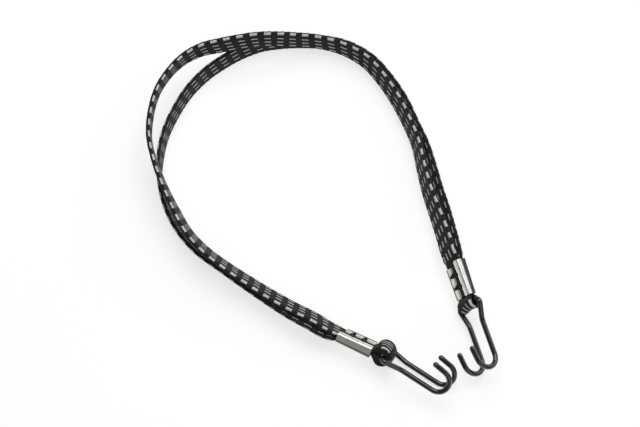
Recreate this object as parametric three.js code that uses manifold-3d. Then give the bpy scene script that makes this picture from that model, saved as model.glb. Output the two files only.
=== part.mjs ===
import * as THREE from "three";
import { mergeVertices } from "three/addons/utils/BufferGeometryUtils.js";
import Module from "manifold-3d";

// Flat elastic strap with a double wire hook at each end. Millimetres, +Z up, lying on a table.

// Woven elastic band, relaxed
const bandWidth = 17;
const bandThickness = 2.8;
const bandChamfer = 0.9;
const coverWall = 0.65;
const boreChamfer = 0.2;
const threadCount = 5;
const threadClearance = 0.3;
const strandSteps = 40;

// Band where the clip presses it, and where it wraps the hook
const pressedWidth = 14.2;
const pressedThickness = 2.2;
const swellLength = 9;
const loopWidth = 17;
const loopSteps = 10;
const throatSteps = 4;

// Sheet metal clip, folded round both layers of the band
const sheetThickness = 1;
const clipLength = 27;
const clipCornerRadius = 1.9;
const fitGap = 0.3;
const seamOffset = 1;
const seamWidth = 4.4;
const toothCount = 3;
const toothRound = 1.8;
const notchWidth = 4.6;
const innerNotchDepth = 4.6;
const outerNotchDepth = 0.8;

// Hook, one bent wire with two legs
const wireDiameter = 4;
const wireSides = 10;
const eyeSpacing = 27;
const legSpacing = 16;
const eyeCornerRadius = 3;
const shoulderLength = 15;
const shoulderRadius = 12;
const legLength = 42;
const bendDiameter = 17;
const tipLength = 10.5;
const tipFlare = 8;

// Where each hook's crossbar lies, the strap's way out to it, and its eye
const rightEnd = {
  name: "right",
  side: 1,
  crossbar: [108.4, -77, 15.8],
  heading: -71.2,
  slope: -7.5,
  lean: 30,
  eyeReach: 10.1,
  eyeRadius: 2.4,
  hookSwing: 0,
};
const leftEnd = {
  name: "left",
  side: -1,
  crossbar: [47.6, -115, 11.8],
  heading: -25.8,
  slope: 1,
  lean: 40,
  eyeReach: 15,
  eyeRadius: 4.2,
  hookSwing: -9.3,
};

// Strand routes from the right clip to the left: x, y, height of the lower edge, outward lean
const upperRoute = [
  [91.5, -27, 11.5, 31],
  [86.2, -8, 9.5, 26],
  [80.4, 12, 7.5, 21],
  [76.5, 32, 6, 16],
  [73, 52, 5, 13],
  [66.4, 70.5, 5, 13],
  [58.2, 88.5, 5, 14],
  [48, 105.5, 5, 13],
  [35.3, 120.9, 5, 12],
  [18.1, 131.3, 5, 11],
  [-1, 136.2, 6.5, 9],
  [-21, 136, 10.5, 10],
  [-38, 134, 15.5, 11],
  [-50, 132.1, 18, 12],
  [-62, 129.9, 18.5, 12],
  [-76, 127.1, 18.3, 11],
  [-89.5, 123.9, 18, 7],
  [-102, 117, 18, 3],
  [-112.4, 106.6, 18, 0],
  [-122.4, 89.9, 17.5, 0],
  [-127, 70.7, 17.5, 2],
  [-127.6, 50.2, 18, 4],
  [-122.7, 30.5, 18.5, 10],
  [-115.7, 11.8, 18.5, 15],
  [-107.2, -6, 17, 20],
  [-97.7, -23, 15, 25],
  [-85, -37, 13, 31],
  [-70, -48.5, 11, 35],
  [-54, -59.2, 9.5, 38],
  [-37.7, -69.5, 8.2, 41],
  [-20.6, -79.4, 7.5, 42],
  [-5, -87.4, 7.2, 41],
];
const lowerRoute = [
  [95.8, -25, 9.5, 33],
  [91.2, -4, 6, 34],
  [87.3, 11.5, 3.5, 32],
  [82.4, 34.4, 1, 27],
  [78.2, 51, 0, 23],
  [71.5, 67.8, 0, 20],
  [63.7, 87.4, 0, 17],
  [53.2, 105.4, 0, 15],
  [40, 122.2, 0, 12],
  [22.5, 133.8, 0, 10],
  [4.5, 138.8, 0, 8],
  [-21, 139.8, 0, 8],
  [-35, 138.6, 0, 9],
  [-45, 136.8, 0, 9],
  [-53, 134, 0, 8],
  [-62, 129.5, 0, 7],
  [-71, 124, 0, 6],
  [-86, 112.5, 0, 6],
  [-99.4, 97.6, 0, 5],
  [-109.3, 80.4, 0, 5],
  [-117, 61.4, 0, 5],
  [-120.6, 41, 0, 4],
  [-120.4, 24, 0, 3],
  [-115.1, 1.7, 0, 8],
  [-105.3, -17.1, 0, 16],
  [-90.3, -34.2, 0, 24],
  [-70.3, -48.7, 0.5, 30],
  [-49.3, -64, 2, 36],
  [-22, -83.2, 4, 40],
  [-7, -92.2, 4.8, 40],
];

const pressedLayer = (pressedThickness + fitGap) / 2;
const fullLayer = (bandThickness + fitGap) / 2;
const clipWidth = pressedWidth + 2 * (fitGap + sheetThickness);
const clipHeight = 2 * pressedThickness + 3 * fitGap + 2 * sheetThickness;
const boreWidth = bandWidth - 2 * coverWall;
const boreThickness = bandThickness - 2 * coverWall;
const threadPitch = (boreWidth - threadClearance) / threadCount;
const threadWidth = threadPitch - threadClearance;
const threadThickness = boreThickness - 2 * threadClearance;
const up = new THREE.Vector3(0, 0, 1);
const degrees = Math.PI / 180;

const wasm = await Module();
wasm.setup();

const coverMaterial = new THREE.MeshStandardMaterial({ color: 0x1c1a1c, roughness: 0.85 });
const rubberMaterial = new THREE.MeshStandardMaterial({ color: 0xc8b89a, roughness: 0.7 });
const clipMaterial = new THREE.MeshStandardMaterial({ color: 0xd8d8d4, roughness: 0.25, metalness: 1 });
const hookMaterial = new THREE.MeshStandardMaterial({ color: 0x0c0c0e, roughness: 0.2 });

const strap = new THREE.Group();

function addMesh(parent, name, geometry, material) {
  const mesh = new THREE.Mesh(geometry, material);
  mesh.name = name;
  parent.add(mesh);
}

// Joins rings of points into a closed skin; bore rings, if given, leave it open at both ends.
function skinRings(rings, boreRings) {
  const points = [];
  const faces = [];
  const size = rings[0].length;
  const last = rings.length - 1;
  const wrap = (ring, i) => ring * size + (i % size);
  const quad = (a, b, c, d) => faces.push(a, b, c, a, c, d);
  const boreStart = rings.length;
  points.push(...rings.flat(), ...(boreRings ?? []).flat());
  for (let k = 0; k < last; k++) {
    for (let i = 0; i < size; i++) {
      quad(wrap(k, i), wrap(k, i + 1), wrap(k + 1, i + 1), wrap(k + 1, i));
      if (!boreRings) continue;
      const b = boreStart + k;
      quad(wrap(b, i + 1), wrap(b, i), wrap(b + 1, i), wrap(b + 1, i + 1));
    }
  }
  for (let i = 0; i < size; i++) {
    if (boreRings) {
      const b = boreStart + last;
      quad(wrap(boreStart, i), wrap(boreStart, i + 1), wrap(0, i + 1), wrap(0, i));
      quad(wrap(last, i), wrap(last, i + 1), wrap(b, i + 1), wrap(b, i));
    } else if (i > 1) {
      faces.push(wrap(0, 0), wrap(0, i), wrap(0, i - 1));
      faces.push(wrap(last, 0), wrap(last, i - 1), wrap(last, i));
    }
  }
  const geometry = new THREE.BufferGeometry().setFromPoints(points);
  geometry.setIndex(faces);
  geometry.computeVertexNormals();
  return geometry;
}

// A rectangle with chamfered corners and three points along each face, as [across, through] pairs.
function chamferedSection(width, thickness, chamfer) {
  const x = width / 2;
  const y = thickness / 2;
  const rightHalf = [
    [0, y],
    [x / 2, y],
    [x - chamfer, y],
    [x, y - chamfer],
    [x, chamfer - y],
    [x - chamfer, -y],
    [x / 2, -y],
  ];
  return [...rightHalf, ...rightHalf.map(([a, b]) => [-a, -b])];
}

// Sets a section at every station of a band, squeezed to the band's size there.
function sectionRings(stations, section, shift = 0) {
  return stations.map(({ centre, across, normal, width, thickness }) =>
    section.map(([x, y]) =>
      centre
        .clone()
        .addScaledVector(across, ((x + shift) * width) / bandWidth)
        .addScaledVector(normal, (y * thickness) / bandThickness),
    ),
  );
}

// The woven cover and the rubber threads inside it, along one stretch of band.
function addBand(parent, name, stations) {
  const outside = chamferedSection(bandWidth, bandThickness, bandChamfer);
  const bore = chamferedSection(boreWidth, boreThickness, boreChamfer);
  const cover = skinRings(sectionRings(stations, outside), sectionRings(stations, bore));
  addMesh(parent, `${name}_cover`, cover, coverMaterial);
  const x = threadWidth / 2;
  const y = threadThickness / 2;
  const thread = [[x, y], [x, -y], [-x, -y], [-x, y]];
  for (let k = 0; k < threadCount; k++) {
    const shift = (k - (threadCount - 1) / 2) * threadPitch;
    const rings = sectionRings(stations, thread, shift);
    addMesh(parent, `${name}_rubber_thread_${k + 1}`, skinRings(rings), rubberMaterial);
  }
}

// How far the band has swollen from its pressed size, 0 to 1, at a distance from the clip.
function swell(distance, run) {
  return THREE.MathUtils.smoothstep(distance, 0, run);
}

// Frame of one end: X along the crossbar, Y out along the strap, Z out of the band's upper face.
function placeEnd(end) {
  const heading = end.heading * degrees;
  const slope = end.slope * degrees;
  const lean = end.lean * degrees;
  const axis = new THREE.Vector3(
    Math.cos(heading) * Math.cos(slope),
    Math.sin(heading) * Math.cos(slope),
    Math.sin(slope),
  );
  const outward = new THREE.Vector3(-axis.y, axis.x, 0).normalize().multiplyScalar(end.side);
  const across = outward.multiplyScalar(Math.sin(lean)).addScaledVector(up, Math.cos(lean));
  across.addScaledVector(axis, -across.dot(axis)).normalize();
  const normal = new THREE.Vector3().crossVectors(axis, across).multiplyScalar(end.side);
  const group = new THREE.Group();
  const crossways = across.clone().multiplyScalar(-end.side);
  group.matrix.makeBasis(crossways, axis, normal).setPosition(...end.crossbar);
  group.matrixAutoUpdate = false;
  strap.add(group);
  const crossbarReach = end.eyeReach - bandThickness - fitGap - wireDiameter / 2;
  const clipEnd = -crossbarReach;
  return { ...end, group, axis, across, normal, clipEnd, clipMouth: clipEnd - clipLength };
}

// Band from the clip's mouth, round the crossbar and back to the mouth.
function eyeStations(end) {
  const loopY = wireDiameter / 2 + fitGap - end.eyeRadius;
  const loopRadius = end.eyeRadius + bandThickness / 2;
  const throat = new THREE.CubicBezierCurve(
    new THREE.Vector2(end.clipEnd, pressedLayer),
    new THREE.Vector2((end.clipEnd * 2 + loopY) / 3, pressedLayer),
    new THREE.Vector2((end.clipEnd + loopY * 2) / 3, loopRadius),
    new THREE.Vector2(loopY, loopRadius),
  );
  const across = new THREE.Vector3(1, 0, 0);
  const station = (y, z, tangent, grown) => ({
    centre: new THREE.Vector3(0, y, z),
    across,
    normal: new THREE.Vector3(0, -tangent.y, tangent.x),
    width: THREE.MathUtils.lerp(pressedWidth, loopWidth, grown),
    thickness: THREE.MathUtils.lerp(pressedThickness, bandThickness, grown),
  });
  const straight = new THREE.Vector2(1, 0);
  const out = [
    station(end.clipMouth, pressedLayer, straight, 0),
    station(end.clipEnd, pressedLayer, straight, 0),
  ];
  for (let k = 1; k <= throatSteps; k++) {
    const t = k / throatSteps;
    const point = throat.getPoint(t);
    out.push(station(point.x, point.y, throat.getTangent(t), swell(t, 1)));
  }
  const loop = [];
  for (let k = 1; k < loopSteps; k++) {
    const turn = (k * Math.PI) / loopSteps;
    const tangent = new THREE.Vector2(Math.cos(turn), -Math.sin(turn));
    const y = loopY + loopRadius * Math.sin(turn);
    loop.push(station(y, loopRadius * Math.cos(turn), tangent, 1));
  }
  const back = out.toReversed().map(({ centre, normal, ...rest }) => ({
    ...rest,
    centre: new THREE.Vector3(0, centre.y, -centre.z),
    normal: new THREE.Vector3(0, normal.y, -normal.z),
  }));
  return [...out, ...loop, ...back];
}

// Outline of the gap between the clip's two toothed flaps, along Y from the clip's mouth.
function seamShape(outerSide) {
  const pitch = clipLength / toothCount;
  const shape = new THREE.Shape();
  const edge = (direction, depth) => {
    const seam = outerSide * seamOffset + (direction * seamWidth) / 2;
    const points = [];
    for (let k = 1; k < toothCount; k++) {
      const middle = k * pitch;
      points.push([seam, middle - notchWidth / 2], [seam + direction * depth, middle]);
      points.push([seam, middle + notchWidth / 2]);
    }
    return points;
  };
  const inner = edge(-outerSide, innerNotchDepth);
  const outer = edge(outerSide, outerNotchDepth).reverse();
  const innerSeam = outerSide * (seamOffset - seamWidth / 2);
  const outerSeam = outerSide * (seamOffset + seamWidth / 2);
  shape.moveTo(innerSeam - outerSide * toothRound, -fitGap);
  shape.quadraticCurveTo(innerSeam, -fitGap, innerSeam, toothRound);
  inner.forEach(([x, y]) => shape.lineTo(x, y));
  shape.lineTo(innerSeam, clipLength - toothRound);
  shape.quadraticCurveTo(
    innerSeam,
    clipLength + fitGap,
    innerSeam - outerSide * toothRound,
    clipLength + fitGap,
  );
  shape.lineTo(outerSeam + outerSide * toothRound, clipLength + fitGap);
  shape.quadraticCurveTo(outerSeam, clipLength + fitGap, outerSeam, clipLength - toothRound);
  outer.forEach(([x, y]) => shape.lineTo(x, y));
  shape.lineTo(outerSeam, toothRound);
  shape.quadraticCurveTo(outerSeam, -fitGap, outerSeam + outerSide * toothRound, -fitGap);
  shape.closePath();
  return shape;
}

function roundedRectangle(path, width, height, radius) {
  const x = width / 2;
  const y = height / 2;
  path.moveTo(x - radius, -y);
  path.absarc(x - radius, -y + radius, radius, -Math.PI / 2, 0);
  path.absarc(x - radius, y - radius, radius, 0, Math.PI / 2);
  path.absarc(-x + radius, y - radius, radius, Math.PI / 2, Math.PI);
  path.absarc(-x + radius, -y + radius, radius, Math.PI, Math.PI * 1.5);
  path.closePath();
  return path;
}

function toManifold(geometry) {
  geometry.deleteAttribute("normal");
  geometry.deleteAttribute("uv");
  const merged = mergeVertices(geometry, 1e-4);
  return new wasm.Manifold(
    new wasm.Mesh({
      numProp: 3,
      vertProperties: merged.attributes.position.array,
      triVerts: new Uint32Array(merged.index.array),
    }),
  );
}

function fromManifold(solid) {
  const mesh = solid.getMesh();
  const geometry = new THREE.BufferGeometry();
  geometry.setAttribute("position", new THREE.BufferAttribute(mesh.vertProperties, 3));
  geometry.setIndex(new THREE.BufferAttribute(mesh.triVerts, 1));
  geometry.computeVertexNormals();
  return geometry;
}

function clipGeometry(end) {
  const outline = roundedRectangle(new THREE.Shape(), clipWidth, clipHeight, clipCornerRadius);
  const inside = roundedRectangle(
    new THREE.Path(),
    clipWidth - 2 * sheetThickness,
    clipHeight - 2 * sheetThickness,
    clipCornerRadius - sheetThickness,
  );
  outline.holes.push(inside);
  const wall = new THREE.ExtrudeGeometry(outline, {
    depth: clipLength,
    bevelEnabled: false,
    curveSegments: 3,
  });
  wall.rotateX(Math.PI / 2).translate(0, end.clipEnd, 0);
  const seam = new THREE.ExtrudeGeometry(seamShape(-end.side), {
    depth: clipHeight,
    bevelEnabled: false,
    curveSegments: 4,
  });
  seam.translate(0, end.clipMouth, 0);
  return fromManifold(toManifold(wall).subtract(toManifold(seam)));
}

// Points of an arc that rounds the corner b between a and c.
function roundedCorner(a, b, c, radius, steps) {
  const back = new THREE.Vector3().subVectors(a, b).normalize();
  const ahead = new THREE.Vector3().subVectors(c, b).normalize();
  const half = back.angleTo(ahead) / 2;
  const middle = back.clone().add(ahead).normalize();
  const centre = b.clone().addScaledVector(middle, radius / Math.sin(half));
  const start = b.clone().addScaledVector(back, radius / Math.tan(half)).sub(centre);
  const axis = new THREE.Vector3().crossVectors(ahead, back).normalize();
  const sweep = Math.PI - 2 * half;
  return Array.from({ length: steps + 1 }, (_, k) =>
    start.clone().applyAxisAngle(axis, (sweep * k) / steps).add(centre),
  );
}

// Half of the hook's centreline, from the middle of the crossbar to one tip.
function hookHalf(sign) {
  const at = (x, y, z) => new THREE.Vector3(sign * x, y, z);
  const middle = at(0, 0, 0);
  const eye = at(eyeSpacing / 2, 0, 0);
  const shoulder = at(legSpacing / 2, shoulderLength, 0);
  const legEnd = at(legSpacing / 2, legLength, 0);
  const points = [
    ...roundedCorner(middle, eye, shoulder, eyeCornerRadius, 5),
    ...roundedCorner(eye, shoulder, legEnd, shoulderRadius, 2),
  ];
  const radius = bendDiameter / 2;
  const flare = tipFlare * degrees;
  const bendSteps = 10;
  for (let k = 0; k <= bendSteps; k++) {
    const turn = ((Math.PI - flare) * k) / bendSteps;
    points.push(
      at(legSpacing / 2, legLength + radius * Math.sin(turn), radius * (1 - Math.cos(turn))),
    );
  }
  const tipDirection = at(0, -Math.cos(flare), Math.sin(flare));
  points.push(points.at(-1).clone().addScaledVector(tipDirection, tipLength - wireDiameter / 2));
  return points;
}

// Sweeps the wire's round section along a line of points, with domed ends.
function wireGeometry(points) {
  const radius = wireDiameter / 2;
  const tangents = points.map((point, k) =>
    new THREE.Vector3()
      .subVectors(points[Math.min(k + 1, points.length - 1)], points[Math.max(k - 1, 0)])
      .normalize(),
  );
  const side = new THREE.Vector3(1, 0, 0);
  const turn = new THREE.Quaternion();
  const stations = points.map((point, k) => {
    if (k > 0) side.applyQuaternion(turn.setFromUnitVectors(tangents[k - 1], tangents[k]));
    side.addScaledVector(tangents[k], -side.dot(tangents[k])).normalize();
    return { point, tangent: tangents[k], side: side.clone(), radius };
  });
  const dome = (station, sense) =>
    [30, 65].map((angle) => ({
      ...station,
      point: station.point
        .clone()
        .addScaledVector(station.tangent, sense * radius * Math.sin(angle * degrees)),
      radius: radius * Math.cos(angle * degrees),
    }));
  const all = [
    ...dome(stations[0], -1).reverse(),
    ...stations,
    ...dome(stations.at(-1), 1),
  ];
  const rings = all.map((station) => {
    const other = new THREE.Vector3().crossVectors(station.tangent, station.side);
    return Array.from({ length: wireSides }, (_, i) => {
      const angle = (2 * Math.PI * i) / wireSides;
      return station.point
        .clone()
        .addScaledVector(station.side, station.radius * Math.cos(angle))
        .addScaledVector(other, station.radius * Math.sin(angle));
    });
  });
  return skinRings(rings);
}

function addEnd(end) {
  addMesh(end.group, `${end.name}_clip`, clipGeometry(end), clipMaterial);
  addBand(end.group, `${end.name}_eye`, eyeStations(end));
  const wire = wireGeometry([...hookHalf(-1).reverse(), ...hookHalf(1)]);
  wire.rotateX(end.hookSwing * degrees);
  addMesh(end.group, `${end.name}_hook`, wire, hookMaterial);
}

// One strand from the right clip's mouth to the left clip's; layer is 1 on the upper face, -1 below.
function strandStations(route, layer, right, left) {
  const place = (end, distance, offset) =>
    new THREE.Vector3(0, end.clipMouth - fitGap - distance, layer * offset).applyMatrix4(
      end.group.matrix,
    );
  const middle = route.map(([x, y, lift, lean]) => {
    const halfWidth = (bandWidth / 2) * Math.cos(lean * degrees);
    const halfThickness = (bandThickness / 2) * Math.sin(lean * degrees);
    return new THREE.Vector3(x, y, lift + halfWidth + halfThickness);
  });
  const curve = new THREE.CatmullRomCurve3([
    place(right, 0, pressedLayer),
    place(right, swellLength, fullLayer),
    ...middle,
    place(left, swellLength, fullLayer),
    place(left, 0, pressedLayer),
  ]);
  const leans = [right.lean, right.lean, ...route.map((row) => row[3]), left.lean, left.lean];
  const leanCurve = new THREE.SplineCurve(leans.map((lean, k) => new THREE.Vector2(k, lean)));
  const length = curve.getLength();
  return Array.from({ length: strandSteps + 1 }, (_, k) => {
    const u = k / strandSteps;
    const along = u * length;
    const tangent = curve.getTangentAt(u);
    if (k === 0) tangent.copy(right.axis).negate();
    if (k === strandSteps) tangent.copy(left.axis);
    const lean = leanCurve.getPoint(curve.getUtoTmapping(u)).y * degrees;
    const across = new THREE.Vector3(tangent.y, -tangent.x, 0)
      .normalize()
      .multiplyScalar(Math.sin(lean))
      .addScaledVector(up, Math.cos(lean));
    across.addScaledVector(tangent, -across.dot(tangent)).normalize();
    const grown = swell(Math.min(along, length - along), swellLength);
    return {
      centre: curve.getPointAt(u),
      across,
      normal: new THREE.Vector3().crossVectors(across, tangent),
      width: THREE.MathUtils.lerp(pressedWidth, bandWidth, grown),
      thickness: THREE.MathUtils.lerp(pressedThickness, bandThickness, grown),
    };
  });
}

const right = placeEnd(rightEnd);
const left = placeEnd(leftEnd);
addEnd(right);
addEnd(left);
addBand(strap, "upper_strand", strandStations(upperRoute, 1, right, left));
addBand(strap, "lower_strand", strandStations(lowerRoute, -1, right, left));

// The part's frame has its origin under the middle of the strap, on the table.
strap.updateMatrixWorld(true);
const box = new THREE.Box3().setFromObject(strap, true);
const middle = box.getCenter(new THREE.Vector3());
strap.position.set(-middle.x, -middle.y, -box.min.z);
const part = new THREE.Group();
part.add(strap);

export default part;
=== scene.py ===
import math

import bmesh
import bpy
from mathutils import Matrix, Vector


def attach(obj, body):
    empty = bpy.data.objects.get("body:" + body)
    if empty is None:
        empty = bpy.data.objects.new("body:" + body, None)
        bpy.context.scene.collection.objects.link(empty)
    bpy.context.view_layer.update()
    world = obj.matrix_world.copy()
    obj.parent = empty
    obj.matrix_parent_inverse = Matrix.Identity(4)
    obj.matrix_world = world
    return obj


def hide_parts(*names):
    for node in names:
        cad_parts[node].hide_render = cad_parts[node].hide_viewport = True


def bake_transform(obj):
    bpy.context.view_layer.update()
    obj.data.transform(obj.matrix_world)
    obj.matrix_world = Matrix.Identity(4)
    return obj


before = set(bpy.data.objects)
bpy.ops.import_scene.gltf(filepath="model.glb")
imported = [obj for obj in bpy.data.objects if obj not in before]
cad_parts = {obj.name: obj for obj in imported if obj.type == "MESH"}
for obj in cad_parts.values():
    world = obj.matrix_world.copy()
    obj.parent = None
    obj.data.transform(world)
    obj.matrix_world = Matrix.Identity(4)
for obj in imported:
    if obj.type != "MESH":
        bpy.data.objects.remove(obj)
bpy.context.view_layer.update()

mm = 0.001
up = Vector((0, 0, 1))
lie = Vector((0.592, 1.810, -0.044)) * mm  # the strap's own origin in the part's frame
print("frame loaded:", len(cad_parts), "solids")


def smooth(x):
    x = min(max(x, 0.0), 1.0)
    return x * x * (3 - 2 * x)


def mix(a, b, t):
    return a + (b - a) * t


def addPiece(name, bm, material, body=None):
    mesh = bpy.data.meshes.new(name)
    bm.to_mesh(mesh)
    bm.free()
    mesh.materials.append(material)
    mesh.polygons.foreach_set("use_smooth", [True] * len(mesh.polygons))
    piece = bpy.data.objects.new(name, mesh)
    bpy.context.scene.collection.objects.link(piece)
    if body:
        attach(piece, body)
    return piece


# Node helpers: most add a node or two and give back the output.
def mathNode(tree, operation, a, b=None):
    node = tree.nodes.new("ShaderNodeMath")
    node.operation = operation
    for socket, value in zip(node.inputs, (a, b)):
        if value is None:
            continue
        if isinstance(value, (int, float)):
            socket.default_value = value
        else:
            tree.links.new(value, socket)
    return node.outputs[0]


def clampNode(tree, value):
    return mathNode(tree, "MINIMUM", mathNode(tree, "MAXIMUM", value, 0.0), 1.0)


def noiseNode(tree, scale, detail):
    position = tree.nodes.new("ShaderNodeTexCoord")
    noise = tree.nodes.new("ShaderNodeTexNoise")
    noise.inputs["Scale"].default_value = scale
    noise.inputs["Detail"].default_value = detail
    tree.links.new(position.outputs["Object"], noise.inputs["Vector"])
    return noise.outputs["Fac"]


def colourMix(tree, factor, a, b):
    node = tree.nodes.new("ShaderNodeMix")
    node.data_type = "RGBA"
    tree.links.new(factor, node.inputs["Factor"])
    for label, colour in (("A", a), ("B", b)):
        if isinstance(colour, tuple):
            node.inputs[label].default_value = (*colour, 1)
        else:
            tree.links.new(colour, node.inputs[label])
    return node.outputs["Result"]


def rangeNode(tree, value, seen, given):
    node = tree.nodes.new("ShaderNodeMapRange")
    for label, number in zip(("From Min", "From Max", "To Min", "To Max"), (*seen, *given)):
        node.inputs[label].default_value = number
    tree.links.new(value, node.inputs["Value"])
    return node.outputs["Result"]


def bumpNode(tree, height, strength, distance):
    node = tree.nodes.new("ShaderNodeBump")
    node.inputs["Strength"].default_value = strength
    node.inputs["Distance"].default_value = distance
    tree.links.new(height, node.inputs["Height"])
    return node.outputs["Normal"]


def newMaterial(name):
    material = bpy.data.materials.new(name)
    material.use_nodes = True
    return material, material.node_tree, material.node_tree.nodes["Principled BSDF"]


def setInputs(shader, values):
    for label, value in values.items():
        shader.inputs[label].default_value = value


# Camera, on the photograph's line of sight: well above the table, looking along +Y.
cameraSet = {"elevation": 68.0, "distance": 1.5375, "lens": 115.3, "sensor": 36.0}

cameraData = bpy.data.cameras.new("camera")
cameraData.lens = cameraSet["lens"]
cameraData.sensor_width = cameraSet["sensor"]
cameraData.sensor_fit = "HORIZONTAL"
camera = bpy.data.objects.new("camera", cameraData)
tilt = math.radians(cameraSet["elevation"])
camera.location = lie + Vector((0, -math.cos(tilt), math.sin(tilt))) * cameraSet["distance"]
camera.rotation_euler = (math.pi / 2 - tilt, 0, 0)
bpy.context.scene.collection.objects.link(camera)
bpy.context.scene.camera = camera
bpy.context.scene.view_settings.view_transform = "Standard"

# Light: a broad box overhead, a weak one in front, a panel low on the right, dim grey all round.
lightSet = {
    "key": {"place": (0.05, 0.62, 1.42), "size": 1.2, "watts": 14.0, "tint": (1.0, 0.99, 0.98)},
    "fill": {"place": (0.65, -1.05, 0.95), "size": 1.5, "watts": 4.5, "tint": (1.0, 1.0, 1.0)},
    "panel": {"place": (1.24, 0.72, 0.66), "size": 0.8, "watts": 3.4, "tint": (0.98, 0.98, 1.0)},
    "surround": (0.22, 0.215, 0.20),
}

for lampName in ("key", "fill", "panel"):
    lampSet = lightSet[lampName]
    lampData = bpy.data.lights.new(lampName, "AREA")
    lampData.size = lampSet["size"]
    lampData.energy = lampSet["watts"]
    lampData.color = lampSet["tint"]
    lamp = bpy.data.objects.new(lampName, lampData)
    lamp.location = lampSet["place"]
    lamp.rotation_euler = (-Vector(lampSet["place"])).to_track_quat("-Z", "Y").to_euler()
    bpy.context.scene.collection.objects.link(lamp)
world = bpy.data.worlds.new("surround")
world.use_nodes = True
world.node_tree.nodes["Background"].inputs["Color"].default_value = (*lightSet["surround"], 1)
world.node_tree.nodes["Background"].inputs["Strength"].default_value = 1.0
bpy.context.scene.world = world

# Table: plain and pale, lifted to white where the camera or a shiny piece looks at it.
tableSet = {
    "half": 6.0,
    "colour": (0.80, 0.80, 0.80),
    "seenColour": (0.40, 0.40, 0.40),
    "ownWhite": 0.70,
}

tableMaterial, tree, tableShader = newMaterial("paleTable")
setInputs(tableShader, {"Roughness": 0.9, "Specular IOR Level": 0.0})
rays = tree.nodes.new("ShaderNodeLightPath")
seenRays = mathNode(tree, "MAXIMUM", rays.outputs["Is Camera Ray"], rays.outputs["Is Glossy Ray"])
seenRays = mathNode(tree, "MAXIMUM", seenRays, rays.outputs["Is Transmission Ray"])
tableColour = colourMix(tree, seenRays, tableSet["colour"], tableSet["seenColour"])
tree.links.new(tableColour, tableShader.inputs["Base Color"])
glow = tree.nodes.new("ShaderNodeEmission")
tree.links.new(mathNode(tree, "MULTIPLY", seenRays, tableSet["ownWhite"]), glow.inputs["Strength"])
both = tree.nodes.new("ShaderNodeAddShader")
tree.links.new(tableShader.outputs[0], both.inputs[0])
tree.links.new(glow.outputs[0], both.inputs[1])
tree.links.new(both.outputs[0], tree.nodes["Material Output"].inputs["Surface"])
bm = bmesh.new()
bmesh.ops.create_grid(bm, x_segments=2, y_segments=2, size=tableSet["half"])
tableMesh = bpy.data.meshes.new("table")
bm.to_mesh(tableMesh)
bm.free()
tableMesh.materials.append(tableMaterial)
table = bpy.data.objects.new("table", tableMesh)
bpy.context.scene.collection.objects.link(table)
print("camera, lamps and table set")


# Woven band. Millimetres; places round it are measured from its lower edge over the dashed face
# to the upper edge, and back over the other face.
band = {
    "width": 17.0,
    "thickness": 2.8,
    "edgeRound": 1.15,
    "crown": 0.12,
    "pressedWidth": 14.2,
    "pressedThickness": 2.2,
    "mouthWidth": 15.6,
    "swell": 9.0,
    "flare": 2.5,
    "ringGap": 0.5,
    "period": 10.0,
    "dash": 0.5,
    "dashLift": 0.13,
    "dashRamp": 0.2,
    "faceFrom": 0.5,  # nearer the middle plane is the edge, which has no raised dashes
    "plainShift": 100,  # takes the plain stretches past every dash column
    "scallop": 0.65,
    "scallops": 2,  # in a period
    "scallopLag": 0.4,  # of the lower edge
    "scallopFall": 0.2,
    "scallopFrom": 0.7,  # of the half width
    "cornerSteps": 4,
    "placeGaps": (0.12, 0.9),
}
flatRun = band["width"] - 2 * band["edgeRound"]
edgeRun = band["thickness"] / 2 - band["edgeRound"]
cornerRun = band["edgeRound"] * math.pi / 2
halfRound = 2 * edgeRun + 2 * cornerRun + flatRun
# place round the band, half width, start within the period
dashColumns = [
    (17.3, 1.25, 0.00),
    (11.9, 0.58, -0.10),
    (7.8, 0.58, -0.20),
    (4.0, 0.58, -0.30),
    (halfRound + 3.2, 0.62, 0.00),
    (halfRound + 8.0, 0.62, -0.10),
    (halfRound + 12.7, 0.62, -0.20),
]


def sectionPoint(place):
    if place >= halfRound:
        x, z = sectionPoint(place - halfRound) if place < 2 * halfRound else sectionPoint(0)
        return (-x, -z) if place < 2 * halfRound else (x, z)
    half, deep, r = band["width"] / 2, band["thickness"] / 2, band["edgeRound"]
    if place < edgeRun:
        return -half, place
    if place < edgeRun + cornerRun:
        turn = (place - edgeRun) / r
        return -half + r - r * math.cos(turn), deep - r + r * math.sin(turn)
    if place < edgeRun + cornerRun + flatRun:
        return -half + r + place - edgeRun - cornerRun, deep
    if place < halfRound - edgeRun:
        turn = (place - edgeRun - cornerRun - flatRun) / r
        return half - r + r * math.sin(turn), deep - r + r * math.cos(turn)
    return half, halfRound - place


def placesRound():
    leastGap, mostGap = band["placeGaps"]
    stops = {0.0, edgeRun, halfRound, 2 * halfRound}
    for side in (0, halfRound):
        for k in range(band["cornerSteps"] + 1):
            turned = cornerRun * k / band["cornerSteps"]
            stops.add(side + edgeRun + turned)
            stops.add(side + edgeRun + cornerRun + flatRun + turned)
    for centre, half, _ in dashColumns:
        foot = half + band["dashRamp"]
        stops.update((centre - foot, centre - half, centre, centre + half, centre + foot))
    places = [0.0]
    for stop in sorted(stops)[1:]:
        gap = stop - places[-1]
        if gap < leastGap:
            continue
        parts = math.ceil(gap / mostGap)
        start = places[-1]
        places += [start + gap * (k + 1) / parts for k in range(parts)]
    places[-1] = 2 * halfRound
    return places


def dashMask(place, along):
    for centre, half, start in dashColumns:
        if abs(place - centre) <= half + 0.01:  # a point on the column's edge counts
            return 1.0 if (along / band["period"] - start) % 1.0 < band["dash"] else 0.0
    return 0.0


bandPlaces = placesRound()


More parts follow.
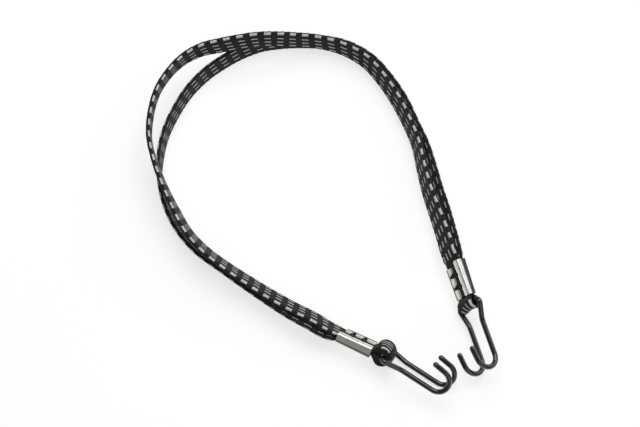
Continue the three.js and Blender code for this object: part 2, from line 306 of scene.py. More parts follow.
# Wraps a flat grid into a band along its stations; side is 1 where the dashed face is on the normal.
# Gather above 1 draws the dash columns together and leaves the other face plain; skew slants them.
def wrapBand(stations, side, reshape=None, roll=0.0, gather=1.0, skew=0.0):
    bm = bmesh.new()
    rings, around = len(stations) - 1, len(bandPlaces) - 1
    bmesh.ops.create_grid(bm, x_segments=rings, y_segments=around, size=1)
    weave = bm.loops.layers.uv.new("weave")
    gridPlace = {}
    for vert in bm.verts:
        gridPlace[vert] = (round((vert.co.x + 1) / 2 * rings), round((vert.co.y + 1) / 2 * around))
    widest = dashColumns[0][0]
    dashPlaces = [widest + (place - roll - widest) * gather for place in bandPlaces]
    slants = [skew * (place - widest) for place in dashPlaces]
    dashEnd = halfRound if gather > 1 else 2 * halfRound
    for face in bm.faces:
        corners = [gridPlace[vert] for vert in face.verts]
        plain = any(not stations[i]["dashed"] or bandPlaces[k] > dashEnd for i, k in corners)
        for loop in face.loops:
            i, k = gridPlace[loop.vert]
            place = dashPlaces[k] + (band["plainShift"] if plain else 0)
            loop[weave].uv = (place, stations[i]["along"] + slants[k])
    section = [sectionPoint(place) for place in bandPlaces]
    for vert, (i, k) in gridPlace.items():
        station = stations[i]
        x, z = section[k]
        along = station["along"]
        edge = abs(x) * 2 / band["width"]
        z += math.copysign(band["crown"] * (1 - edge * edge), z)
        onFace = abs(z) > band["faceFrom"]
        if onFace and station["dashed"] and bandPlaces[k] <= dashEnd:
            z += math.copysign(band["dashLift"] * dashMask(dashPlaces[k], along + slants[k]), z)
        saw = (along / band["period"] * band["scallops"] + (0.0 if x > 0 else band["scallopLag"])) % 1.0
        nearEdge = smooth((edge - band["scallopFrom"]) / (1 - band["scallopFrom"]))
        x -= math.copysign(band["scallop"] * saw * smooth((1 - saw) / band["scallopFall"]) * nearEdge, x)
        x *= station["width"] / band["width"]
        z *= side * station["thickness"] / band["thickness"]
        if reshape:
            vert.co = reshape(station, x, z)
        else:
            vert.co = station["centre"] + station["across"] * (x * mm) + station["normal"] * (z * mm)
    bmesh.ops.remove_doubles(bm, verts=bm.verts, dist=1e-7)
    bmesh.ops.holes_fill(bm, edges=[e for e in bm.edges if e.is_boundary], sides=0)
    bmesh.ops.recalc_face_normals(bm, faces=bm.faces)
    return bm


# Shader groups: one dash column of the weave, and the fine threads between.
def startGroup(name, inputs, outputs):
    group = bpy.data.node_groups.new(name, "ShaderNodeTree")
    for label, kind in inputs:
        group.interface.new_socket(label, in_out="INPUT", socket_type=kind)
    for label, kind in outputs:
        group.interface.new_socket(label, in_out="OUTPUT", socket_type=kind)
    return group, group.nodes.new("NodeGroupInput"), group.nodes.new("NodeGroupOutput")


number = "NodeSocketFloat"
dashGroup, given, put = startGroup(
    "dashColumn",
    [("Place", number), ("Along", number), ("Centre", number), ("Half", number), ("Start", number)],
    [("Mask", number)],
)
dashEdge = {"across": 8.0, "along": 40.0}  # how sharply a dash ends, per millimetre and per period
fromCentre = mathNode(dashGroup, "SUBTRACT", given.outputs["Place"], given.outputs["Centre"])
inside = mathNode(dashGroup, "SUBTRACT", given.outputs["Half"], mathNode(dashGroup, "ABSOLUTE", fromCentre))
inColumn = mathNode(dashGroup, "MULTIPLY", inside, dashEdge["across"])
periods = mathNode(dashGroup, "DIVIDE", given.outputs["Along"], band["period"])
phase = mathNode(dashGroup, "SUBTRACT", periods, given.outputs["Start"])
cycle = mathNode(dashGroup, "FLOORED_MODULO", phase, 1.0)
fromMiddle = mathNode(dashGroup, "ABSOLUTE", mathNode(dashGroup, "SUBTRACT", cycle, band["dash"] / 2))
inside = mathNode(dashGroup, "SUBTRACT", band["dash"] / 2, fromMiddle)
inDash = mathNode(dashGroup, "MULTIPLY", inside, dashEdge["along"])
across = clampNode(dashGroup, mathNode(dashGroup, "ADD", inColumn, 0.5))
along = clampNode(dashGroup, mathNode(dashGroup, "ADD", inDash, 0.5))
dashGroup.links.new(mathNode(dashGroup, "MULTIPLY", across, along), put.inputs["Mask"])

threadGroup, given, put = startGroup(
    "wovenThreads",
    [("Place", number), ("Along", number), ("Cord", number), ("Pick", number)],
    [("Height", number)],
)
waves = []
for way, pitch in (("Place", "Cord"), ("Along", "Pick")):
    perRadian = mathNode(threadGroup, "DIVIDE", given.outputs[pitch], 2 * math.pi)
    phase = mathNode(threadGroup, "DIVIDE", given.outputs[way], perRadian)
    waves.append(mathNode(threadGroup, "SINE", phase))
over = mathNode(threadGroup, "MULTIPLY", *waves)
height = mathNode(threadGroup, "ADD", mathNode(threadGroup, "MULTIPLY", over, 0.5), 0.5)
threadGroup.links.new(height, put.inputs["Height"])


# Woven cover: near-black ground with rows of pale dashes.
coverSet = {
    "ground": (0.0125, 0.0112, 0.0122),
    "groundWorn": (0.030, 0.027, 0.028),
    "dash": (0.72, 0.71, 0.70),
    "dashShade": (0.46, 0.45, 0.44),
    "dashBlotch": (0.9, 0.25),  # how far the blotches shade a dash, and the least
    "rough": (0.72, 0.92),
    "blotch": (260.0, 3.0),  # scale and detail
    "cord": 0.9,
    "pick": 1.25,
    "bump": (0.7, 0.00025),  # strength and depth
    "sheen": {"Specular IOR Level": 0.25, "Sheen Weight": 0.12, "Sheen Roughness": 0.4},
}


def makeCoverMaterial():
    material, tree, shader = newMaterial("wovenCover")
    nodes, links = tree.nodes, tree.links
    weave = nodes.new("ShaderNodeUVMap")
    weave.uv_map = "weave"
    split = nodes.new("ShaderNodeSeparateXYZ")
    links.new(weave.outputs["UV"], split.inputs[0])
    mask = None
    for centre, half, start in dashColumns:
        column = nodes.new("ShaderNodeGroup")
        column.node_tree = dashGroup
        links.new(split.outputs["X"], column.inputs["Place"])
        links.new(split.outputs["Y"], column.inputs["Along"])
        setInputs(column, {"Centre": centre, "Half": half, "Start": start})
        mask = column.outputs[0] if mask is None else mathNode(tree, "MAXIMUM", mask, column.outputs[0])
    threads = nodes.new("ShaderNodeGroup")
    threads.node_tree = threadGroup
    links.new(split.outputs["X"], threads.inputs["Place"])
    links.new(split.outputs["Y"], threads.inputs["Along"])
    setInputs(threads, {"Cord": coverSet["cord"], "Pick": coverSet["pick"]})
    height = threads.outputs["Height"]
    blotch = noiseNode(tree, *coverSet["blotch"])
    worn = mathNode(tree, "MULTIPLY", blotch, height)
    ground = colourMix(tree, worn, coverSet["ground"], coverSet["groundWorn"])
    reach, least = coverSet["dashBlotch"]
    lit = mathNode(tree, "ADD", mathNode(tree, "MULTIPLY", blotch, reach), least)
    pale = colourMix(tree, lit, coverSet["dashShade"], coverSet["dash"])
    links.new(colourMix(tree, mask, ground, pale), shader.inputs["Base Color"])
    links.new(rangeNode(tree, blotch, (0.0, 1.0), coverSet["rough"]), shader.inputs["Roughness"])
    links.new(bumpNode(tree, height, *coverSet["bump"]), shader.inputs["Normal"])
    setInputs(shader, coverSet["sheen"])
    return material


coverMaterial = makeCoverMaterial()
print("woven cover material made, places round the band:", len(bandPlaces))


# Hook ends: where each crossbar lies and how the strap comes to it (millimetres and degrees).
# Of the clip: how far the painted shade of the fold reaches on its inner flap, the strength and top of
# the painted dark reflection low on its side, and how far it spreads at the mouth and at the eye.
ends = {
    "right": {
        "side": 1, "crossbar": (108.4, -77, 15.8), "heading": -71.2, "slope": -7.5, "lean": 30,
        "eyeReach": 10.1, "eyeRadius": 2.4, "swing": 0.0, "body": "right_end",
        "darkRun": 0.9, "paintedShade": (1.0, 0.5), "spread": (1.6, 0.0),
    },
    "left": {
        "side": -1, "crossbar": (47.6, -115, 11.8), "heading": -25.8, "slope": 1, "lean": 40,
        "eyeReach": 15.0, "eyeRadius": 4.2, "swing": -9.3, "body": "strap",
        "darkRun": 2.0, "paintedShade": (0.82, -1.4), "spread": (0.2, 1.2),
    },
}
wireDiameter = 4.0
clipLength = 27.0
fitGap = 0.3
pressedLayer = (band["pressedThickness"] + fitGap) / 2

for end in ends.values():
    heading, slope, lean = (math.radians(end[key]) for key in ("heading", "slope", "lean"))
    axis = Vector((math.cos(heading) * math.cos(slope), math.sin(heading) * math.cos(slope), math.sin(slope)))
    across = Vector((-axis.y, axis.x, 0)).normalized() * end["side"] * math.sin(lean) + up * math.cos(lean)
    across = (across - axis * across.dot(axis)).normalized()
    normal = axis.cross(across) * end["side"]
    crossways = across * -end["side"]
    turned = Matrix((crossways, axis, normal)).transposed().to_4x4()
    end["place"] = Matrix.Translation(lie + Vector(end["crossbar"]) * mm) @ turned
    end["clipEnd"] = -(end["eyeReach"] - band["thickness"] - fitGap - wireDiameter / 2)
    end["clipMouth"] = end["clipEnd"] - clipLength


def inEnd(end, x, y, z):
    return end["place"] @ (Vector((x, y, z)) * mm)


# Strands, right clip to left. Route: x, y and height of the lower edge in metres, and outward lean in
# degrees. Right and left: height at a clip's mouth and past its swell, in the clip's own millimetres.
# Weave: it is looser in some stretches, so lengths from the right clip have their places in it.
strands = {
    "upper_strand": {
        "right": (1.25, 1.55),
        "left": (1.25, 1.55),
        "side": 1,
        "roll": 0.0,
        "weave": [
            (7.5, 2.5), (71, 62.5), (192, 182.5), (234, 222.5),
            (303.5, 292.5), (333, 322.5), (510.5, 502.5), (607, 602.5),
        ],
        "route": [
            (0.0915, -0.0270, 0.0115, 31), (0.0862, -0.0080, 0.0095, 26), (0.0804, 0.0120, 0.0075, 21),
            (0.0763, 0.0320, 0.0060, 18), (0.0726, 0.0519, 0.0050, 16), (0.0660, 0.0703, 0.0050, 17),
            (0.0578, 0.0883, 0.0050, 18), (0.0476, 0.1052, 0.0050, 17), (0.0350, 0.1206, 0.0050, 15),
            (0.0181, 0.1313, 0.0050, 11), (-0.0010, 0.1362, 0.0065, 9), (-0.0210, 0.1360, 0.0105, 10),
            (-0.0380, 0.1340, 0.0155, 11), (-0.0500, 0.1321, 0.0180, 12), (-0.0620, 0.1299, 0.0185, 12),
            (-0.0760, 0.1271, 0.0183, 11), (-0.0895, 0.1239, 0.0180, 7), (-0.1020, 0.1170, 0.0180, 3),
            (-0.1124, 0.1066, 0.0180, 0), (-0.1224, 0.0899, 0.0175, 0), (-0.1270, 0.0707, 0.0175, 2),
            (-0.1276, 0.0502, 0.0180, 4), (-0.1227, 0.0305, 0.0185, 10), (-0.1157, 0.0118, 0.0185, 15),
            (-0.1072, -0.0060, 0.0170, 20), (-0.0977, -0.0230, 0.0150, 25), (-0.0850, -0.0370, 0.0130, 31),
            (-0.0700, -0.0485, 0.0110, 35), (-0.0540, -0.0592, 0.0095, 38), (-0.0377, -0.0695, 0.0082, 41),
            (-0.0206, -0.0794, 0.0075, 42), (-0.0050, -0.0874, 0.0072, 41),
        ],
    },
    "lower_strand": {
        "right": (-2.4, -4.1),
        "left": (-2.1, -3.9),
        "side": -1,
        "roll": -0.1,
        "weave": [(12, 12.5), (78, 72.5), (293.9, 291.5), (343.4, 341.5), (472.9, 472.5), (500.9, 502.5)],
        "route": [
            (0.0958, -0.0250, 0.0095, 33), (0.0912, -0.0040, 0.0060, 34), (0.0873, 0.0115, 0.0035, 32),
            (0.0824, 0.0344, 0.0010, 27), (0.0782, 0.0510, 0.0000, 23), (0.0715, 0.0678, 0.0000, 20),
            (0.0637, 0.0874, 0.0000, 17), (0.0532, 0.1054, 0.0000, 15), (0.0400, 0.1222, 0.0000, 12),
            (0.0225, 0.1338, 0.0000, 10), (0.0045, 0.1388, 0.0000, 8), (-0.0210, 0.1398, 0.0000, 8),
            (-0.0350, 0.1386, 0.0000, 9), (-0.0450, 0.1368, 0.0000, 9), (-0.0530, 0.1340, 0.0000, 10),
            (-0.0620, 0.1297, 0.0000, 10), (-0.0710, 0.1243, 0.0000, 10), (-0.0862, 0.1128, 0.0000, 10),
            (-0.0996, 0.0978, 0.0000, 9), (-0.1095, 0.0805, 0.0000, 8), (-0.1171, 0.0614, 0.0000, 7),
            (-0.1206, 0.0410, 0.0000, 6), (-0.1204, 0.0240, 0.0000, 3), (-0.1147, 0.0019, 0.0000, 11),
            (-0.1046, -0.0167, 0.0000, 22), (-0.0898, -0.0337, 0.0000, 28), (-0.0703, -0.0487, 0.0005, 30),
            (-0.0493, -0.0640, 0.0020, 36), (-0.0220, -0.0832, 0.0040, 40), (-0.0070, -0.0922, 0.0048, 40),
        ],
    },
}


# A smooth line through the points, each knot spaced by the root of its gap.
def smoothLine(points, leans, perSpan=24):
    line = []
    count = len(points)
    for k in range(count - 1):
        p1, p2 = points[k], points[k + 1]
        p0 = points[k - 1] if k else p1 * 2 - p2
        p3 = points[k + 2] if k + 2 < count else p2 * 2 - p1
        d0, d1, d2 = (max((b - a).length, 1e-6) ** 0.5 for a, b in ((p0, p1), (p1, p2), (p2, p3)))
        t1 = ((p1 - p0) / d0 - (p2 - p0) / (d0 + d1) + (p2 - p1) / d1) * d1
        t2 = ((p2 - p1) / d1 - (p3 - p1) / (d1 + d2) + (p3 - p2) / d2) * d1
        l0, l1, l2, l3 = (leans[min(max(k + j, 0), count - 1)] for j in (-1, 0, 1, 2))
        for step in range(perSpan + (k == count - 2)):
            t = step / perSpan
            a, b = 2 * t ** 3 - 3 * t ** 2 + 1, t ** 3 - 2 * t ** 2 + t
            c, d = -2 * t ** 3 + 3 * t ** 2, t ** 3 - t ** 2
            leanHere = a * l1 + b * (l2 - l0) / 2 + c * l2 + d * (l3 - l1) / 2
            line.append((p1 * a + t1 * b + p2 * c + t2 * d, leanHere))
    return line


def weaveAt(knots, length):
    for (a, va), (b, vb) in zip(knots, knots[1:]):
        if length < b or (b, vb) == knots[-1]:
            return va + (vb - va) * (length - a) / (b - a)


def strandStations(strand):
    right, left = ends["right"], ends["left"]
    points = [inEnd(right, 0, right["clipMouth"] - fitGap, strand["right"][0]),
              inEnd(right, 0, right["clipMouth"] - fitGap - band["swell"], strand["right"][1])]
    leans = [right["lean"], right["lean"]]
    for x, y, lift, lean in strand["route"]:
        turn = math.radians(lean)
        middle = (band["width"] * math.cos(turn) + band["thickness"] * math.sin(turn)) / 2
        points.append(lie + Vector((x, y, lift + middle * mm)))
        leans.append(lean)
    points += [inEnd(left, 0, left["clipMouth"] - fitGap - band["swell"], strand["left"][1]),
               inEnd(left, 0, left["clipMouth"] - fitGap, strand["left"][0])]
    leans += [left["lean"], left["lean"]]
    line = smoothLine(points, leans)
    lengths = [0.0]
    for (a, _), (b, _) in zip(line, line[1:]):
        lengths.append(lengths[-1] + (b - a).length)
    total = lengths[-1]
    count = round(total / (band["ringGap"] * mm))
    stations, k = [], 0
    for i in range(count + 1):
        goal = total * i / count
        while k < len(line) - 2 and lengths[k + 1] < goal:
            k += 1
        t = (goal - lengths[k]) / (lengths[k + 1] - lengths[k])
        centre = line[k][0].lerp(line[k + 1][0], t)
        tangent = (line[k + 1][0] - line[k][0]).normalized()
        if i == 0:
            tangent = -(right["place"].to_3x3() @ Vector((0, 1, 0)))
        if i == count:
            tangent = left["place"].to_3x3() @ Vector((0, 1, 0))
        lean = math.radians(mix(line[k][1], line[k + 1][1], t))
        across = Vector((tangent.y, -tangent.x, 0)).normalized() * math.sin(lean) + up * math.cos(lean)
        across = (across - tangent * across.dot(tangent)).normalized()
        grown = smooth(min(goal, total - goal) / (band["flare"] * mm))
        stations.append({
            "centre": centre,
            "across": across,
            "normal": across.cross(tangent),
            "width": mix(band["mouthWidth"], band["width"], grown),
            "thickness": mix(band["pressedThickness"], band["thickness"], grown),
            "along": weaveAt(strand["weave"], goal / mm),
            "dashed": True,
        })
    return stations, total


for name, strand in strands.items():
    stations, total = strandStations(strand)
    piece = addPiece(name, wrapBand(stations, strand["side"], roll=strand["roll"]), coverMaterial)
    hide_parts(f"{name}_cover", *(f"{name}_rubber_thread_{k}" for k in range(1, 6)))
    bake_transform(piece)
    print(name, "length", round(total, 4), "m,", len(piece.data.polygons), "faces")


# Clips: one sheet folded round both layers, with a toothed seam on the upper face.
clipSet = {
    "width": 16.8,
    "height": 7.3,
    "round": 1.9,
    "sheet": 1.0,
    "notchBefore": 3.9,
    "notchAfter": 1.5,
    "notchShift": 1.1,
    "teeth": 3,
    "endRound": 1.6,
    "curlRun": 1.5,
    "slant": 3.2,
    # Painted shade: how dark the inner flap is made along its fold, and where the painted dark reflection low
    # on the side runs and fades.
    "flapShade": 0.85,
    "flapShadeStart": 0.3,
    "sideShadeRun": 2,
    "sideShadeFade": 0.6,
    "edgeBevel": 0.18,
    "rows": 72,
    "flapSteps": 12,
}
# Flaps of the seam: side of the clip, gap to its middle, depth of a notch and how open it is.
flaps = {
    "inner": {"side": -1, "edge": 1.2, "notch": 4.6, "open": 1.7, "endShare": 1.0, "curl": 0.45},
    "outer": {"side": 1, "edge": 3.2, "notch": 0.8, "open": 1.0, "endShare": 0.6, "curl": 0.225},
}

# Eyes: the band goes through the clip, round the crossbar and back. Bulge is where it swells in the seam.
eyeSet = {
    "right": {
        "saddle": 1.5, "puff": 0.0, "stuffing": 0.0, "bulge": 1.0, "gather": 1.0, "skew": 0.0,
        "start": 47.2, "sense": -1, "dashesDownTo": -0.9, "nodes": "right_eye",
    },
    "left": {
        "saddle": 0.3, "puff": 3.8, "stuffing": 1.9, "bulge": 1.0, "gather": 2.3, "skew": 0.16,
        "start": 4.8, "sense": 1, "dashesDownTo": -0.3, "nodes": "left_eye",
    },
}
eyeForm = {
    "endInset": 0.05,
    "riseSteps": 16,
    "loopSteps": 34,
    "puffRun": 7,
    "puffLeast": 0.4,
    "stuffingFrom": 2,
    "stuffingRun": 5,
    "seamMiddle": 1.0,
    "seamHalf": 0.8,
    "seamFade": 1.6,
    "bulgeFrom": -1,
    "bulgeRun": 3,
    "slantFrom": 1,
    "slantWiden": 0.14,  # the band is wider where the clip's mouth is cut back
}


def eyeStations(end, start, sense, lowest):
    loopY = wireDiameter / 2 + fitGap - end["eyeRadius"]
    loopRadius = end["eyeRadius"] + band["thickness"] / 2
    mouth = end["clipMouth"] - fitGap + eyeForm["endInset"]
    flat = []  # y, z, grown
    steps = round((end["clipEnd"] - mouth) / band["ringGap"])
    for k in range(steps + 1):
        flat.append((mix(mouth, end["clipEnd"], k / steps), pressedLayer, 0.0))
    steps = eyeForm["riseSteps"]
    for k in range(1, steps + 1):
        t = k / steps
        y = mix(end["clipEnd"], loopY, t)
        a, b, c, d = (1 - t) ** 3, 3 * t * (1 - t) ** 2, 3 * t * t * (1 - t), t ** 3
        flat.append((y, (a + b) * pressedLayer + (c + d) * loopRadius, smooth(t)))
    loop = []
    for k in range(1, eyeForm["loopSteps"]):
        angle = math.pi * k / eyeForm["loopSteps"]
        loop.append((loopY + loopRadius * math.sin(angle), loopRadius * math.cos(angle), 1.0))
    flat = flat + loop + [(y, -z, grown) for y, z, grown in reversed(flat)]
    stations, along = [], 0.0
    for i, (y, z, grown) in enumerate(flat):
        before, after = flat[max(i - 1, 0)], flat[min(i + 1, len(flat) - 1)]
        tangent = Vector((0, after[0] - before[0], after[1] - before[1])).normalized()
        if i:
            along += math.hypot(y - flat[i - 1][0], z - flat[i - 1][1])
        stations.append({
            "y": y,
            "z": z,
            "normal": Vector((0, -tangent.z, tangent.y)),
            "outward": smooth((y - end["clipEnd"]) / (loopY + loopRadius - end["clipEnd"])),
            "upper": z > 0 and grown == 0,
            "width": mix(band["pressedWidth"], band["width"], grown),
            "thickness": mix(band["pressedThickness"], band["thickness"], grown),
            "along": start + sense * along,
            # no dashes inside the clip: painted shade, so the band shows dark in the seam
            "dashed": grown > 0.5 and z > lowest * loopRadius,
        })
    return stations


for name, look in eyeSet.items():
    end = ends[name]

    def shapeEye(station, x, z):
        normal, pastClip = station["normal"], station["y"] - end["clipEnd"]
        fromMouth = station["y"] - end["clipMouth"]
        fromMiddle = 2 * x / band["width"]
        flatPoint = Vector((0, station["y"], station["z"])) + normal * z
        intoSlant = 1 - smooth((fromMouth - eyeForm["slantFrom"]) / clipSet["slant"])
        flatPoint.x = -end["side"] * (x * (1 + eyeForm["slantWiden"] * intoSlant) if x < 0 else x)
        flatPoint.y += look["saddle"] * fromMiddle ** 2 * station["outward"] ** 2
        if z > 0:
            crowned = look["puff"] * (1 - fromMiddle ** 2) * smooth(pastClip / eyeForm["puffRun"])
            flatPoint += normal * crowned * mix(eyeForm["puffLeast"], 1, max(normal.z, 0))
        else:
            stuffed = smooth((pastClip - eyeForm["stuffingFrom"]) / eyeForm["stuffingRun"])
            flatPoint -= normal * look["stuffing"] * stuffed
        if station["upper"] and z > 0:
            fromSeam = abs(x - eyeForm["seamMiddle"]) - eyeForm["seamHalf"]
            inSeam = 1 - smooth(fromSeam / eyeForm["seamFade"])
            fromEnds = smooth((fromMouth - eyeForm["bulgeFrom"]) / eyeForm["bulgeRun"])
            flatPoint.z += look["bulge"] * inSeam * fromEnds
        return inEnd(end, *flatPoint)

    stations = eyeStations(end, look["start"], look["sense"], look["dashesDownTo"])
    bm = wrapBand(stations, 1, shapeEye, gather=look["gather"], skew=look["skew"])
    piece = addPiece(look["nodes"], bm, coverMaterial, end["body"])
    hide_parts(f"{look['nodes']}_cover", *(f"{look['nodes']}_rubber_thread_{k}" for k in range(1, 6)))
    print(look["nodes"], "wrapped round its crossbar")


# Clip steel: bright, duller in patches, with painted shade along the folds and a painted dark reflection low
# on the side.
clipSteelSet = {
    "colour": (0.79, 0.78, 0.745),
    "dull": (0.70, 0.68, 0.64),
    # the colour of the painted shade on the folds and of the painted dark reflection on the side
    "paintedShade": (0.055, 0.050, 0.072),
    "cloud": (190.0, 4.0),  # scale and detail
    "dullFrom": (0.5, 0.8),
    "roughFrom": (0.3, 0.75),
    "rough": (0.34, 0.44),
}


def makeClipMaterial():
    material, tree, shader = newMaterial("clipSteel")
    setInputs(shader, {"Metallic": 1.0})
    cloud = noiseNode(tree, *clipSteelSet["cloud"])
    patches = rangeNode(tree, cloud, clipSteelSet["dullFrom"], (0.0, 1.0))
    colour = colourMix(tree, patches, clipSteelSet["colour"], clipSteelSet["dull"])
    # the painted shade and painted dark reflection, per vertex from the mesh
    darkened = tree.nodes.new("ShaderNodeAttribute")
    darkened.attribute_name = "paintedShade"
    shaded = colourMix(tree, darkened.outputs["Fac"], colour, clipSteelSet["paintedShade"])
    tree.links.new(shaded, shader.inputs["Base Color"])
    rough = rangeNode(tree, cloud, clipSteelSet["roughFrom"], clipSteelSet["rough"])
    tree.links.new(rough, shader.inputs["Roughness"])
    return material


# The sheet's middle line, from the middle of the back round one side to the flap.
sheetRound = clipSet["round"] - clipSet["sheet"] / 2
sheetHalf = (clipSet["width"] - clipSet["sheet"]) / 2
sheetDeep = (clipSet["height"] - clipSet["sheet"]) / 2
backRun = sheetHalf - sheetRound
bendRun = sheetRound * math.pi / 2
wallRun = 2 * (sheetDeep - sheetRound)
flapStart = backRun + bendRun + wallRun + bendRun


def sheetPoint(run):
    r, half, deep = sheetRound, sheetHalf, sheetDeep
    away, sign = abs(run), math.copysign(1, run)
    if away < backRun:
        return sign * away, -deep
    away -= backRun
    if away < bendRun:
        return sign * (half - r + r * math.sin(away / r)), -deep + r - r * math.cos(away / r)
    away -= bendRun
    if away < wallRun:
        return sign * half, -deep + r + away
    away -= wallRun
    if away < bendRun:
        return sign * (half - r + r * math.cos(away / r)), deep - r + r * math.sin(away / r)
    return sign * (half - r - (away - bendRun)), deep


# Each notch slopes gently on the side of the clip's mouth and steeply on the side of the eye.
# Wide above 1 gives it a flat bottom.
def notch(along, deep, wide):
    pitch = clipLength / clipSet["teeth"]
    cut = 0.0
    for k in range(1, clipSet["teeth"]):
        past = along - pitch * k - clipSet["notchShift"]
        run = clipSet["notchAfter"] if past > 0 else clipSet["notchBefore"]
        cut = max(cut, min(1.0, wide * (1 - abs(past) / run)))
    return deep * cut


def endCut(along):
    near = min(along, clipLength - along) / clipSet["endRound"]
    return clipSet["endRound"] * (1 - math.sqrt(1 - (1 - near) ** 2)) if near < 1 else 0.0


def foldClip(end):
    stops = [0.0]
    for run, steps in ((backRun, 5), (bendRun, 7), (wallRun, 5), (bendRun, 7)):
        start = stops[-1]
        stops += [start + run * (k + 1) / steps for k in range(steps)]
    flapSteps = clipSet["flapSteps"]
    columns = [("inner", 1 - k / flapSteps) for k in range(flapSteps)]
    columns += [("sheet", -stop) for stop in reversed(stops[1:])] + [("sheet", stop) for stop in stops]
    columns += [("outer", (k + 1) / flapSteps) for k in range(flapSteps)]
    rows = clipSet["rows"]
    bm = bmesh.new()
    bmesh.ops.create_grid(bm, x_segments=len(columns) - 1, y_segments=rows, size=1)
    # per-vertex painted shade and painted dark reflection, read by the clip's material
    paintedShade = bm.verts.layers.float.new("paintedShade")
    for vert in bm.verts:
        part, value = columns[round((vert.co.x + 1) / 2 * (len(columns) - 1))]
        row = round((vert.co.y + 1) / 2 * rows) / rows
        late = {"inner": 1.0, "outer": 0.0}.get(part)  # the mouth slants back towards the inner flap
        if late is None:
            late = smooth((backRun - value) / (2 * backRun))
        along = mix(clipSet["slant"] * late, clipLength, row)
        drop = 0.0
        if part in flaps:
            flap = flaps[part]
            cut = max(notch(along, flap["notch"], flap["open"]), endCut(along) * flap["endShare"])
            reach = backRun - flap["edge"] - cut
            x, z = sheetPoint(flap["side"] * (flapStart + value * reach))
            fromTip = (1 - value) * reach
            drop = flap["curl"] * max(0.0, 1 - fromTip / clipSet["curlRun"]) ** 2
            # painted shade on the inner flap, fading away from its fold
            if part == "inner":
                shaded = 1 - smooth(value * reach / end["darkRun"] - clipSet["flapShadeStart"])
                vert[paintedShade] = clipSet["flapShade"] * shaded
        else:
            x, z = sheetPoint(value)
            # painted dark reflection low on the side, and painted shade on the inner top fold
            shadeStrength, top = end["paintedShade"]
            if value > 0:
                pastBack = smooth((value - backRun) / clipSet["sideShadeRun"] + 1)
                vert[paintedShade] = shadeStrength * pastBack * (1 - smooth((z - top) / clipSet["sideShadeFade"] + 0.5))
            elif value < bendRun - flapStart:
                vert[paintedShade] = clipSet["flapShade"]
        spread = mix(*end["spread"], along / clipLength) * (sheetDeep - z) / (2 * sheetDeep)
        vert.co = inEnd(end, -end["side"] * x, end["clipMouth"] + along, z - drop - spread)
    bmesh.ops.recalc_face_normals(bm, faces=bm.faces)
    return bm


clipMaterial = makeClipMaterial()
for name, end in ends.items():
    piece = addPiece(f"{name}_folded_clip", foldClip(end), clipMaterial, end["body"])
    wall = piece.modifiers.new("sheet", "SOLIDIFY")
    wall.thickness = clipSet["sheet"] * mm
    wall.offset = 0.0
    wall.use_even_offset = True
    edges = piece.modifiers.new("edges", "BEVEL")
    edges.width = clipSet["edgeBevel"] * mm
    edges.segments = 2
    edges.limit_method = "ANGLE"
    edges.angle_limit = math.radians(50)
    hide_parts(f"{name}_clip")
    print(name, "clip folded")


# Hooks: one coated wire, a crossbar through the eye and two legs bent back to open tips.
hookSet = {
    "radius": wireDiameter / 2,
    "sides": 32,
    "eyeHalf": 13.5,
    "eyeRound": 3.0,
    "legHalf": 8.0,
    "shoulder": 15.0,
    "shoulderRound": 12.0,
    "leg": 42.0,
    "bendRound": 8.5,
    "flare": 8.0,
    "tip": 8.5,
    "domeRings": (18, 36, 54, 70, 82),  # degrees
    "steps": {"bar": 6, "eye": 14, "slope": 5, "shoulder": 6, "leg": 10, "bend": 28, "tip": 4},
}
hookCoatSet = {
    "colour": (0.0032, 0.0031, 0.0040),
    "worn": (0.006, 0.006, 0.007),
    "rub": (60.0, 5.0),  # scale and detail
    "rubbedFrom": (0.52, 0.72),
    "rough": (0.06, 0.12),
    "grain": (420.0, 3.0),
    "bump": (0.10, 0.0001),  # strength and depth
    "gloss": {"Specular IOR Level": 0.65, "Coat Weight": 0.65, "Coat Roughness": 0.06},
}


def makeHookMaterial():
    material, tree, shader = newMaterial("hookCoat")
    rubbed = rangeNode(tree, noiseNode(tree, *hookCoatSet["rub"]), hookCoatSet["rubbedFrom"], (0.0, 1.0))
    colour = colourMix(tree, rubbed, hookCoatSet["colour"], hookCoatSet["worn"])
    tree.links.new(colour, shader.inputs["Base Color"])
    rough = rangeNode(tree, rubbed, (0.0, 1.0), hookCoatSet["rough"])
    tree.links.new(rough, shader.inputs["Roughness"])
    grain = noiseNode(tree, *hookCoatSet["grain"])
    tree.links.new(bumpNode(tree, grain, *hookCoatSet["bump"]), shader.inputs["Normal"])
    setInputs(shader, hookCoatSet["gloss"])
    return material


def ringOf(geometry):
    verts = {item for item in geometry if isinstance(item, bmesh.types.BMVert)}
    edges = [item for item in geometry if isinstance(item, bmesh.types.BMEdge)]
    return [edge for edge in edges if edge.verts[0] in verts and edge.verts[1] in verts], list(verts)


def pushRing(bm, ring, shift, steps):
    for _ in range(steps):
        ring, verts = ringOf(bmesh.ops.extrude_edge_only(bm, edges=ring)["geom"])
        bmesh.ops.translate(bm, verts=verts, vec=shift / steps)
    return ring


def turnRing(bm, ring, centre, axis, angle, steps):
    verts = list({vert for edge in ring for vert in edge.verts})
    last = bmesh.ops.spin(bm, geom=ring + verts, cent=centre, axis=axis, angle=angle, steps=steps,
                          use_duplicate=False)["geom_last"]
    return ringOf(last)[0]


def domeTip(bm, ring, heading, radius):
    verts = list({vert for edge in ring for vert in edge.verts})
    middle = sum((vert.co for vert in verts), Vector()) / len(verts)
    width = 1.0
    for degrees in hookSet["domeRings"]:
        ring, verts = ringOf(bmesh.ops.extrude_edge_only(bm, edges=ring)["geom"])
        turn = math.radians(degrees)
        here = middle + heading * (radius * math.sin(turn))
        was = sum((vert.co for vert in verts), Vector()) / len(verts)
        bmesh.ops.translate(bm, verts=verts, vec=here - was)
        shrink = Vector((1, 1, 1)) * (math.cos(turn) / width)
        bmesh.ops.scale(bm, verts=verts, vec=shrink, space=Matrix.Translation(-here))
        width = math.cos(turn)
    bmesh.ops.holes_fill(bm, edges=ring, sides=0)


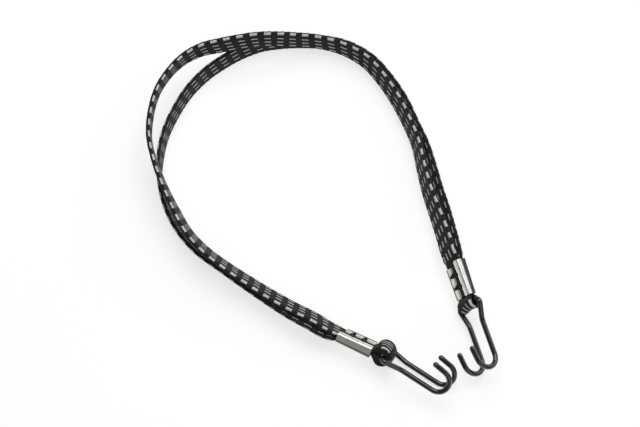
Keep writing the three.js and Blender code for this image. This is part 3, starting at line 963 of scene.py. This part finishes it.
def bendHook(end):
    h, steps = hookSet, hookSet["steps"]
    bm = bmesh.new()
    facingAlong = Matrix.Rotation(math.pi / 2, 4, "Y")
    bmesh.ops.create_circle(bm, segments=h["sides"], radius=h["radius"], matrix=facingAlong)
    ring = list(bm.edges)
    sideways = Vector((h["legHalf"] - h["eyeHalf"], h["shoulder"], 0))
    run = sideways.length
    sideways.normalize()
    turn = math.acos(sideways.x)  # from the crossbar round to the leg
    eyeCut = h["eyeRound"] * math.tan(turn / 2)
    lean = math.acos(sideways.y)
    shoulderCut = h["shoulderRound"] * math.tan(lean / 2)
    ring = pushRing(bm, ring, Vector((h["eyeHalf"] - eyeCut, 0, 0)), steps["bar"])
    ring = turnRing(bm, ring, (h["eyeHalf"] - eyeCut, h["eyeRound"], 0), (0, 0, 1), turn, steps["eye"])
    ring = pushRing(bm, ring, sideways * (run - eyeCut - shoulderCut), steps["slope"])
    shoulderCentre = (h["legHalf"] + h["shoulderRound"], h["shoulder"] + shoulderCut, 0)
    ring = turnRing(bm, ring, shoulderCentre, (0, 0, 1), -lean, steps["shoulder"])
    ring = pushRing(bm, ring, Vector((0, h["leg"] - h["shoulder"] - shoulderCut, 0)), steps["leg"])
    flare = math.radians(h["flare"])
    bendCentre = (h["legHalf"], h["leg"], h["bendRound"])
    ring = turnRing(bm, ring, bendCentre, (1, 0, 0), math.pi - flare, steps["bend"])
    heading = Vector((0, -math.cos(flare), math.sin(flare)))
    ring = pushRing(bm, ring, heading * h["tip"], steps["tip"])
    domeTip(bm, ring, heading, h["radius"])
    bmesh.ops.mirror(bm, geom=bm.verts[:] + bm.edges[:] + bm.faces[:], merge_dist=1e-4, axis="X")
    bmesh.ops.remove_doubles(bm, verts=bm.verts, dist=1e-4)
    bmesh.ops.recalc_face_normals(bm, faces=bm.faces)
    swing = Matrix.Rotation(math.radians(end["swing"]), 4, "X")
    bmesh.ops.transform(bm, matrix=end["place"] @ swing @ Matrix.Scale(mm, 4), verts=bm.verts)
    return bm


hookMaterial = makeHookMaterial()
for name, end in ends.items():
    piece = addPiece(f"{name}_bent_hook", bendHook(end), hookMaterial, f"{name}_hook")
    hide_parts(f"{name}_hook")
    print(name, "hook bent,", len(piece.data.polygons), "faces")
